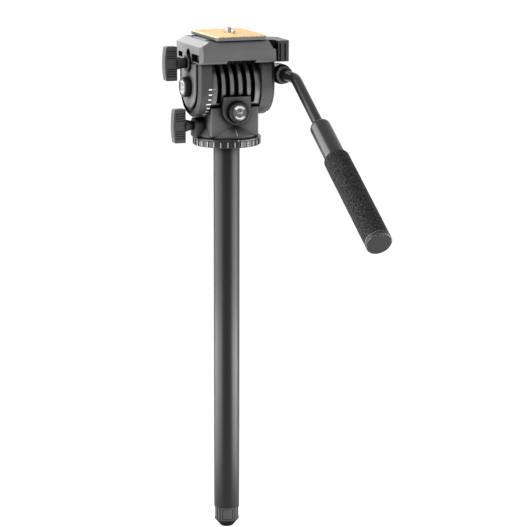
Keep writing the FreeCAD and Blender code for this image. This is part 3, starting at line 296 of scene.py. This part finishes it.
# Materials by the slot that a piece has in the record
materials = {
    "anodised_black": coated("anodised_black", (0.002, 0.002, 0.0022), roughness=0.34, specular=0.25,
                             grain=fine_grain, depth=0.003 * MM),
    "cast_black": coated("cast_black", (0.040, 0.040, 0.041), roughness=0.44, specular=0.22,
                         depth=cast_depth, edge=1.0 * MM),
    "moulded_black": coated("moulded_black", (0.038, 0.038, 0.039), roughness=0.38, specular=0.25,
                            depth=moulded_depth),
    "cover_grey": coated("cover_grey", (0.080, 0.080, 0.081), roughness=0.44, specular=0.25,
                         depth=cast_depth, edge=0.9 * MM),
    "gloss_black": coated("gloss_black", (0.004, 0.004, 0.004), roughness=0.32, specular=0.35,
                          grain=fine_grain, depth=0.0003 * MM, sheen=0.01),
    "foot_rubber": coated("foot_rubber", (0.03, 0.03, 0.031), roughness=0.5, specular=0.3),
    "foam": foam_rubber("foam"),
    "cork": cork_sheet("cork"),
    "plate_metal": machined("plate_metal", (0.30, 0.30, 0.32), roughness=0.42),
    "bright_steel": machined("bright_steel", (0.62, 0.62, 0.63), roughness=0.24),
    "dark_steel": machined("dark_steel", (0.16, 0.16, 0.17), roughness=0.34),
    "bronze": machined("bronze", (0.55, 0.40, 0.20), roughness=0.4),
    "friction_disc": coated("friction_disc", (0.2, 0.15, 0.1), roughness=0.7, specular=0.2),
}

# Finishes that only some pieces have
platform_black = coated("platform_black", (0.104, 0.104, 0.105), roughness=0.42, specular=0.28,
                        depth=cast_depth, edge=1.0 * MM, wear_and_edge_highlight=0.1)
block_black = coated("block_black", (0.068, 0.068, 0.069), roughness=0.44, specular=0.25,
                     depth=cast_depth, edge=0.8 * MM)
# Painted highlight on the fins' edges, and deep painted shade in the gaps between the fins.
drum_black = coated("drum_black", (0.075, 0.075, 0.076), roughness=0.30, specular=0.8,
                    depth=moulded_depth, wear_and_edge_highlight=1.6, groove_shade=0.03, reach=7.0 * MM)
# Painted highlight along the ring's edges, and painted shade in its grooves.
ring_black = coated("ring_black", (0.003, 0.003, 0.003), roughness=0.28, specular=0.40, grain=fine_grain,
                    depth=0.001 * MM, edge=0.3 * MM, wear_and_edge_highlight=6.0, groove_shade=0.3, reach=3.0 * MM)
# Painted highlight along the knobs' edges, and painted shade in their grooves.
knob_black = coated("knob_black", (0.008, 0.008, 0.0085), roughness=0.38, specular=0.20,
                    depth=moulded_depth, wear_and_edge_highlight=3.0, reach=4.0 * MM)
# Painted shadow: a near black for the tilt lock's collar, which the tilt knob shades.
painted_shadow_black = coated("painted_shadow_black", (0.006, 0.006, 0.006), roughness=0.5, specular=0.15)
# Painted shade in the lever's gaps, and a faint painted highlight on its edges.
lever_black = coated("lever_black", (0.022, 0.022, 0.0225), roughness=0.30, specular=0.35,
                     depth=0.004 * MM, wear_and_edge_highlight=1.3, groove_shade=0.05)
sleeve_black = coated("sleeve_black", (0.006, 0.006, 0.0062), roughness=0.25, specular=0.45,
                      depth=0.0003 * MM, sheen=0.01)
# Painted highlight: a bright rim along the grip cap's edges.
cap_black = coated("cap_black", (0.022, 0.022, 0.023), roughness=0.50, specular=0.15,
                   depth=0.002 * MM, edge=0.5 * MM, wear_and_edge_highlight=30.0)
plate_grey = coated("plate_grey", (0.125, 0.125, 0.136), roughness=0.36, specular=0.4,
                    grain=1800.0, depth=moulded_depth, wear_and_edge_highlight=1.4)
screw_steel = machined("screw_steel", (0.42, 0.42, 0.43), roughness=0.2)
# Painted highlight: the light colour of the strips on the ring's ridge tops.
ridge_highlight_paint = coated("ridge_highlight_paint", (0.26, 0.26, 0.265), roughness=0.36, specular=0.5,
                    edge=print_edge, wear_and_edge_highlight=1.0, groove_shade=0.8)
white_print = coated("white_print", (0.92, 0.92, 0.92), roughness=0.5, specular=0.3,
                     edge=print_edge, wear_and_edge_highlight=1.0, groove_shade=0.7)
grey_print = coated("grey_print", (0.34, 0.34, 0.34), roughness=0.5, specular=0.3,
                    edge=print_edge, wear_and_edge_highlight=1.0)
silver_print = machined("silver_print", (0.50, 0.50, 0.50), roughness=0.3)
pan_film = coated("pan_film", (0.075, 0.075, 0.077), roughness=0.18, specular=0.5,
                  depth=0.001 * MM, groove_shade=0.6)
tilt_film = coated("tilt_film", (0.19, 0.19, 0.195), roughness=0.22, specular=0.5,
                   depth=0.001 * MM, groove_shade=0.6)

own_finish = {
    "platform": platform_black,
    "pan_block": block_black,
    "fin_drum": drum_black,
    "base_ring": ring_black,
    "pan_drag_knob": knob_black,
    "tilt_drag_knob": knob_black,
    "tilt_lock_collar": painted_shadow_black,
    "handle_socket": knob_black,
    "qr_lever": lever_black,
    "handle_sleeve": sleeve_black,
    "grip_end_cap": cap_black,
    "camera_plate": plate_grey,
    "camera_screw": screw_steel,
    "video_pin": screw_steel,
}


def dress_nodes():
    """Gives each piece of the frame its own finish, or else the material of its slot."""
    for part in frame["record"]["subparts"]:
        finish = own_finish.get(part["node"], materials[part["material_slot"]])
        for slot in frame["nodes"][part["node"]].material_slots:
            slot.material = finish


# Making pieces

def between(low, high, share):
    return low + (high - low) * share


def middle_of(box):
    return (box[0] + box[1]) / 2


def new_piece(name, corners, faces, material, body):
    """A closed mesh that rides on a body of the frame."""
    merging_distance = 1e-7
    mesh = bpy.data.meshes.new(name)
    mesh.from_pydata(corners, [], faces)
    shell = bmesh.new()
    shell.from_mesh(mesh)
    bmesh.ops.remove_doubles(shell, verts=shell.verts, dist=merging_distance)
    bmesh.ops.recalc_face_normals(shell, faces=shell.faces)
    shell.to_mesh(mesh)
    shell.free()
    mesh.materials.append(material)
    piece = bpy.data.objects.new(name, mesh)
    bpy.context.scene.collection.objects.link(piece)
    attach(piece, body)
    return piece


def smooth(piece, angle=30.0):
    """Smooth shading, with sharp edges where faces meet at this angle or more."""
    for face in piece.data.polygons:
        face.use_smooth = True
    edges = bmesh.new()
    edges.from_mesh(piece.data)
    for edge in edges.edges:
        edge.smooth = edge.calc_face_angle(0.0) < math.radians(angle)
    edges.to_mesh(piece.data)
    edges.free()


def grid_faces(rows, columns, start, closed=False):
    """Quads between rows of corners. Where closed is set, each row joins up with its own start."""
    faces = []
    for row in range(rows - 1):
        for column in range(columns if closed else columns - 1):
            after = (column + 1) % columns
            first = start + row * columns
            second = first + columns
            faces.append((first + column, first + after, second + after, second + column))
    return faces


def turned(name, foot, axis, profile, segments, material, body, ripple=None):
    """A solid of revolution. The profile is a list of radius and height along the axis from the foot,
    and ripple gives how far a corner of the skin stands off."""
    side = axis.orthogonal().normalized()
    other = axis.cross(side)
    corners = []
    for radius, height in profile:
        for step in range(segments):
            turn = math.tau * step / segments
            out = side * math.cos(turn) + other * math.sin(turn)
            corner = foot + axis * height + out * radius
            corners.append(corner + out * (ripple(corner, radius, height, turn) if ripple else 0.0))
    faces = grid_faces(len(profile), segments, 0, closed=True)
    return new_piece(name, corners, faces, material, body)


def surface_of(node):
    """A tree of a node's faces, which finds where a ray meets it."""
    mesh = frame["nodes"][node].data
    corners = [corner.co for corner in mesh.vertices]
    return BVHTree.FromPolygons(corners, [tuple(face.vertices) for face in mesh.polygons])


def printed(name, node, body, patches, material):
    """Thin prints, or thin strips of painted highlight, on a node's surface. A patch is a function of u
    and v, each from 0 to 1, that gives the start and the way of a ray to the surface, with the number of
    steps in each."""
    height = 0.06 * MM
    sunk = 0.02 * MM
    surface = surface_of(node)
    corners = []
    faces = []
    for ray, across, along in patches:
        tops = []
        lows = []
        for row in range(along + 1):
            for column in range(across + 1):
                start, way = ray(column / across, row / along)
                spot, normal, _, _ = surface.ray_cast(start, way)
                outward = normal if normal.dot(way) < 0 else -normal
                tops.append(spot + outward * height)
                lows.append(spot - outward * sunk)
        top = len(corners)
        low = top + len(tops)
        corners += tops + lows
        faces += grid_faces(along + 1, across + 1, top)
        faces += grid_faces(along + 1, across + 1, low)
        rim = [(row, 0) for row in range(along)]
        rim += [(along, column) for column in range(across)]
        rim += [(row, across) for row in range(along, 0, -1)]
        rim += [(0, column) for column in range(across, 0, -1)]
        spots = [row * (across + 1) + column for row, column in rim]
        for here, after in zip(spots, spots[1:] + spots[:1]):
            faces.append((top + here, top + after, low + after, low + here))
    return new_piece(name, corners, faces, material, body)


# Marks on the head

tilt_z = middle_of(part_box("tilt_drag_knob")).z
ray_start = 60.0                 # millimetres from an axis, outside all that is printed on


def tilt_ray(x, turn):
    """A ray to the tilt axis, from the front or from this angle below it."""
    out = Vector((0.0, -math.cos(turn), -math.sin(turn)))
    return Vector((x, 0.0, tilt_z)) + out * ray_start * MM, -out


def tilt_scale():
    """Angle marks on the front of the left housing, every ten degrees, long ones at thirty and sixty."""
    inset = 0.15 * MM
    long_mark = 5.0 * MM
    short_mark = 3.5 * MM
    half = math.radians(1.1)
    inner_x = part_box("left_housing")[1].x - inset

    def mark(degrees):
        length = long_mark if degrees in (30, 60) else short_mark
        middle = math.radians(degrees)

        def ray(u, v):
            turn = between(middle - half, middle + half, v)
            return tilt_ray(between(inner_x - length, inner_x, u), turn)
        return ray, 3, 3
    marks = [mark(degrees) for degrees in range(0, 71, 10)]
    printed("tilt_scale_marks", "left_housing", "tilt", marks, white_print)


def drum_index():
    """The mark on the drum that the tilt scale is read against."""
    left_end = -26.8 * MM
    right_end = -23.0 * MM
    half = math.radians(1.0)

    def ray(u, v):
        return tilt_ray(between(left_end, right_end, u), between(-half, half, v))
    printed("drum_index_mark", "fin_drum", "pan", [(ray, 3, 3)], grey_print)


def front_mark(name, node, body, low_z, high_z):
    """An upright mark at the front, where the pan direction is read."""
    half = 0.5 * MM

    def ray(u, v):
        start = Vector((between(-half, half, u), -ray_start * MM, between(low_z, high_z, v)))
        return start, backward
    printed(name, node, body, [(ray, 2, 6)], grey_print)


def ring_ridge_highlights():
    """Painted highlights: thin light strips on the tops of the ring's ridges, where the ridges catch the
    light.
    """
    ridges = 30
    half = math.radians(0.85)
    low_end = 0.9 * MM
    high_end = 6.3 * MM

    def ridge(degrees):
        middle = math.radians(degrees)

        def ray(u, v):
            turn = between(middle - half, middle + half, u)
            out = Vector((math.cos(turn), math.sin(turn), 0.0))
            height = Vector((0.0, 0.0, between(low_end, high_end, v)))
            return out * ray_start * MM + height, -out
        return ray, 1, 2
    tops = [ridge(360.0 * i / ridges) for i in range(ridges)]
    printed("ring_ridge_highlight_strips", "base_ring", "column", tops, ridge_highlight_paint)


def dial(name, node, body, centre, out, film):
    """A bare dial in a drag knob's dish: a glossy film, two broad arcs with ticks, and a wedge
    from slack to tight with a minus and a plus. Arcs, ticks and bars are in millimetres and degrees."""
    arc_inner = 4.9
    arc_outer = 6.7
    arc_half = 52.0
    tick_inner = 7.0
    tick_outer = 7.7
    tick_half = 3.0
    sign_level = 2.1
    sign_width = 1.5
    stroke = 0.4
    arm = 0.7
    lead = 5.0
    beside = 3.0
    film_radius = 7.85 * MM
    film_half = 0.03 * MM
    film_segments = 64
    right = upward.cross(out)
    start = centre + out * lead * MM

    def ring_patch(inner, outer, middle, half):
        def ray(u, v):
            turn = math.radians(between(middle - half, middle + half, v))
            radius = between(inner, outer, u) * MM
            return start + (right * math.cos(turn) + upward * math.sin(turn)) * radius, -out
        return ray, 1, max(2, round(half / 4))

    def bar_patch(left, level, width, left_height, right_height):
        def ray(u, v):
            height = between(left_height, right_height, u)
            spot = right * between(left, left + width, u) + upward * (level + height * (v - 0.5))
            return start + spot * MM, -out
        return ray, 2, 1

    arcs = []
    for middle in (90.0, 270.0):
        arcs.append(ring_patch(arc_inner, arc_outer, middle, arc_half))
        for step in range(-48, 49, 12):
            arcs.append(ring_patch(tick_inner, tick_outer, middle + step, tick_half))
    printed(name + "_arcs", node, body, arcs, silver_print)

    wedge = bar_patch(left=-3.2, level=0.0, width=6.4, left_height=0.35, right_height=1.7)
    notches = [bar_patch(-3.1 + 1.5 * i, -2.1, 0.35, 0.9, 0.9) for i in range(5)]
    dashes = [bar_patch(left, sign_level, sign_width, stroke, stroke) for left in (-3.3, 1.8)]
    arms = [bar_patch(2.35, level, stroke, arm, arm) for level in (2.65, 1.55)]
    printed(name + "_wedge", node, body, [wedge, *notches, *dashes, *arms], grey_print)

    dish = surface_of(node).ray_cast(start + right * beside * MM, -out)[0]
    floor = centre + out * (dish - centre).dot(out)
    profile = [(0.0, -film_half), (film_radius, -film_half), (film_radius, film_half), (0.0, film_half)]
    turned(name + "_film", floor, out, profile, film_segments, film, body)


def dials():
    pan_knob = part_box("pan_drag_knob")
    tilt_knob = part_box("tilt_drag_knob")
    pan_centre = Vector((0.0, pan_knob[0].y, middle_of(pan_knob).z))
    tilt_centre = Vector((tilt_knob[0].x, 0.0, tilt_z))
    dial("pan_drag_dial", "pan_drag_knob", "pan_drag", pan_centre, frontward, pan_film)
    dial("tilt_drag_dial", "tilt_drag_knob", "tilt_drag", tilt_centre, leftward, tilt_film)


# Screws and the tilt lock's flange

def lever_pivot_end():
    """The end of the lever's pivot screw, with a shallow hexagon socket, on top of the lever."""
    segments = 24
    radius = 1.5 * MM
    top_radius = radius * 0.9
    socket = radius * 0.55
    low = -0.2 * MM
    shoulder = 0.15 * MM
    top = 0.25 * MM
    socket_floor = 0.02 * MM
    wedge = math.pi / 6
    spot = Vector((54.9 * MM, -6.2 * MM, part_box("qr_lever")[1].z))
    side = upward.orthogonal().normalized()
    other = upward.cross(side)
    rings = ((radius, False, low), (radius, False, shoulder), (top_radius, False, top),
             (socket, True, top), (socket, True, socket_floor), (0.0, True, socket_floor))
    corners = []
    for size, hexagon, height in rings:
        for step in range(segments):
            turn = math.tau * step / segments
            flat = math.cos(wedge) / math.cos(turn % (2 * wedge) - wedge) if hexagon else 1.0
            out = side * math.cos(turn) + other * math.sin(turn)
            corners.append(spot + upward * height + out * size * flat)
    faces = grid_faces(len(rings), segments, 0, closed=True)
    faces.append(tuple(range(segments)))
    new_piece("lever_pivot_end", corners, faces, materials["dark_steel"], "lever")


def lock_flange():
    """The raised flange round the hub of the tilt lock's knob."""
    sunk = 0.3 * MM
    bore = 5.6 * MM
    rim = 8.9 * MM
    shoulder = 2.6 * MM
    height = 3.4 * MM
    chamfer = 0.8 * MM
    segments = 72
    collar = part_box("tilt_lock_collar")
    middle = middle_of(collar)
    foot = Vector((collar[0].x + sunk, middle.y, middle.z))
    profile = [(bore, 0.0), (rim, 0.0), (rim, shoulder), (rim - chamfer, height),
               (bore, height), (bore, 0.0)]
    flange = turned("tilt_lock_flange", foot, leftward, profile, segments, knob_black,
                    "tilt")
    smooth(flange)


def camera_screw():
    """The camera's screw: a rolled thread above the cork, on the solid's neck and slotted head."""
    pitch = 1.27 * MM
    crest = 3.175 * MM
    depth = 0.62 * MM
    tip = 0.6 * MM
    flank_slope = 1.35
    crest_flat = 0.2
    rows = 60
    segments = 48
    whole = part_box("camera_screw")
    middle = middle_of(whole)
    cork_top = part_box("cork_pad")[1].z
    foot = Vector((middle.x, middle.y, cork_top))
    rise = whole[1].z - cork_top

    def flank(corner, radius, height, turn):
        phase = (height / pitch - turn / math.tau) % 1.0
        valley = abs(2.0 * phase - 1.0)
        cut = depth * min(1.0, max(0.0, flank_slope * valley - crest_flat))
        shoulder = max(0.0, height - (rise - tip))
        return -max(cut, shoulder) if radius > 0 else 0.0
    profile = [(0.0, 0.0)] + [(crest, rise * i / rows) for i in range(rows + 1)] + [(0.0, rise)]
    thread = turned("camera_screw_thread", foot, upward, profile, segments, screw_steel,
                    "camera_screw", flank)

    neck = bmesh.new()
    neck.from_mesh(frame["nodes"]["camera_screw"].data)
    everything = neck.verts[:] + neck.edges[:] + neck.faces[:]
    cut = bmesh.ops.bisect_plane(neck, geom=everything, plane_co=foot, plane_no=upward, clear_outer=True)
    rim = [part for part in cut["geom_cut"] if isinstance(part, bmesh.types.BMEdge)]
    bmesh.ops.contextual_create(neck, geom=rim)
    neck.from_mesh(thread.data)
    neck.to_mesh(thread.data)
    neck.free()
    smooth(thread, 50.0)
    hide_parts("camera_screw")


# Foam grip

def foam_grip():
    """The grip's foam tube, with the soft unevenness and the open cells of its skin."""
    slope = math.radians(31.5)
    length = 121.0 * MM
    bore = 5.7 * MM
    lip = 1.6 * MM
    lip_steps = 5
    rows = 200
    segments = 168
    swells = 45.0
    swell_depth = 0.12 * MM
    cells = 480.0
    cell_depth = 0.16 * MM
    skin_sunk = 0.05 * MM
    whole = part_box("foam_grip")
    radius = (whole[1].x - whole[0].x) / 2
    way = Vector((0.0, -math.cos(slope), -math.sin(slope)))
    far = Vector((middle_of(whole).x, whole[0].y + radius * math.sin(slope),
                  whole[0].z + radius * math.cos(slope)))
    profile = [(bore, 0.0)]
    for i in range(lip_steps + 1):
        turn = math.pi / 2 * i / lip_steps
        profile.append((radius - lip + lip * math.sin(turn), lip - lip * math.cos(turn)))
    for i in range(1, rows + 1):
        profile.append((radius, lip + (length - lip) * i / rows))
    profile += [(bore, length), (bore, 0.0)]

    def skin(corner, size, height, turn):
        if size < radius - lip:
            return 0.0
        swell = clouds.noise(corner * swells) * swell_depth
        cell = clouds.noise(corner * cells) * cell_depth
        return min(0.0, swell + cell - skin_sunk)
    grip = turned("foam_grip_skin", far - way * length, way, profile, segments, materials["foam"],
                  "handle", skin)
    smooth(grip, 60.0)
    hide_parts("foam_grip")


# Stage

def seen_ray(tree):
    """One for rays that show the background: from the camera, in a reflection or through glass."""
    path = tree.nodes.new("ShaderNodeLightPath")
    direct = combined(tree, "MAXIMUM", path.outputs["Is Camera Ray"], path.outputs["Is Glossy Ray"])
    return combined(tree, "MAXIMUM", direct, path.outputs["Is Transmission Ray"])


def pale_floor():
    """A wide pale floor that shows white around the object and keeps the object's shadow."""
    reach = 14.0
    grey = 0.25
    near_glow = 0.90
    far_glow = 1.0
    near = 0.2
    far = 1.2
    mesh = bpy.data.meshes.new("floor")
    sides = ((-reach, -reach), (reach, -reach), (reach, reach), (-reach, reach))
    mesh.from_pydata([(x, y, floor_z) for x, y in sides], [], [(0, 1, 2, 3)])
    floor = bpy.data.objects.new("floor", mesh)
    bpy.context.scene.collection.objects.link(floor)
    material, tree, shader = new_material("floor")
    shader.inputs["Base Color"].default_value = (grey, grey, grey, 1.0)
    even_gloss(shader, 0.9, 0.0)
    away = tree.nodes.new("ShaderNodeVectorMath")
    away.operation = "LENGTH"
    tree.links.new(place(tree, (1.0, 1.0, 0.0)), away.inputs[0])
    glow = tree.nodes.new("ShaderNodeEmission")
    strength = spread(tree, away.outputs["Value"], near_glow, far_glow, start=near, end=far)
    tree.links.new(strength, glow.inputs["Strength"])
    dark = tree.nodes.new("ShaderNodeEmission")
    dark.inputs["Strength"].default_value = 0.0
    shown = tree.nodes.new("ShaderNodeMixShader")
    tree.links.new(seen_ray(tree), shown.inputs["Fac"])
    tree.links.new(dark.outputs["Emission"], shown.inputs[1])
    tree.links.new(glow.outputs["Emission"], shown.inputs[2])
    total = tree.nodes.new("ShaderNodeAddShader")
    tree.links.new(shader.outputs["BSDF"], total.inputs[0])
    tree.links.new(shown.outputs["Shader"], total.inputs[1])
    tree.links.new(total.outputs["Shader"], tree.nodes["Material Output"].inputs["Surface"])
    mesh.materials.append(material)


def pale_world():
    """An even sky: white where it is seen, and weak where it only lights the object."""
    light = 0.12
    world = bpy.data.worlds.new("studio")
    bpy.context.scene.world = world
    world.use_nodes = True
    tree = world.node_tree
    sky = tree.nodes["Background"]
    sky.inputs["Color"].default_value = (1.0, 1.0, 1.0, 1.0)
    strength = spread(tree, seen_ray(tree), light, 1.0, start=0.0, end=1.0)
    tree.links.new(strength, sky.inputs["Strength"])


# Light and camera

def softbox(name, direction, distance, width, height, radiance, centre_z):
    """A flat lamp that faces the upright axis, at this height, from a direction."""
    lamp = bpy.data.lights.new(name, "AREA")
    lamp.shape = "RECTANGLE"
    lamp.size = width
    lamp.size_y = height
    lamp.energy = radiance * math.pi * width * height
    box = bpy.data.objects.new(name, lamp)
    bpy.context.scene.collection.objects.link(box)
    middle = Vector((0.0, 0.0, centre_z))
    box.location = middle + Vector(direction).normalized() * distance
    box.rotation_mode = "QUATERNION"
    box.rotation_quaternion = (box.location - middle).to_track_quat("Z", "Y")
    box.visible_camera = False


def studio_lamps():
    """Large boxes at both sides, low ones by the column's foot, one behind and one high in front."""
    left = (-0.98, 0.192, 0.0)
    right = (0.84, -0.54, 0.0)
    left_top = 0.60
    right_top = -0.02
    low_height = 0.19
    low_middle = floor_z + low_height / 2
    softbox("left_box", left, distance=0.5, width=0.82, height=left_top - floor_z, radiance=5.4,
            centre_z=(left_top + floor_z) / 2)
    softbox("right_box", right, distance=0.47, width=0.52, height=right_top - floor_z, radiance=8.0,
            centre_z=(right_top + floor_z) / 2)
    softbox("low_left_box", left, distance=0.2, width=0.33, height=low_height, radiance=4.3,
            centre_z=low_middle)
    softbox("low_right_box", right, distance=0.2, width=0.22, height=low_height, radiance=6.2,
            centre_z=low_middle)
    softbox("back_box", (-0.13, 0.92, 0.33), distance=2.2, width=1.5, height=0.8, radiance=4.5,
            centre_z=0.1)
    softbox("front_box", (-0.15, -0.78, 0.88), distance=2.0, width=0.9, height=0.7, radiance=12.5,
            centre_z=0.05)


def photo_camera():
    """The camera, where the photograph was taken from."""
    data = bpy.data.cameras.new("camera")
    data.sensor_width = sensor_width
    data.lens = sensor_width * camera_focus / image_size
    data.clip_start = 0.05
    data.clip_end = 60.0
    camera = bpy.data.objects.new("camera", data)
    bpy.context.scene.collection.objects.link(camera)
    level = Vector((math.cos(camera_azimuth), -math.sin(camera_azimuth), 0.0))
    ahead = Vector((math.sin(camera_azimuth), math.cos(camera_azimuth), 0.0)) * math.cos(camera_pitch)
    ahead.z = -math.sin(camera_pitch)
    upright = level.cross(ahead)
    right = level * math.cos(camera_roll) + upright * math.sin(camera_roll)
    up = upright * math.cos(camera_roll) - level * math.sin(camera_roll)
    turn = Matrix((right, up, -ahead)).transposed()
    camera.matrix_world = Matrix.Translation(camera_place) @ turn.to_4x4()
    bpy.context.scene.camera = camera


def write_sizes():
    import json


dress_nodes()
tilt_scale()
drum_index()
front_mark("skirt_index_mark", "pan_block", "pan", low_z=12.6 * MM, high_z=18.4 * MM)
front_mark("ring_index_mark", "base_ring", "column", low_z=7.0 * MM, high_z=8.8 * MM)
ring_ridge_highlights()
dials()
lever_pivot_end()
lock_flange()
camera_screw()
foam_grip()
pale_floor()
pale_world()
studio_lamps()
photo_camera()
bpy.context.scene.view_settings.view_transform = "Standard"
write_sizes()
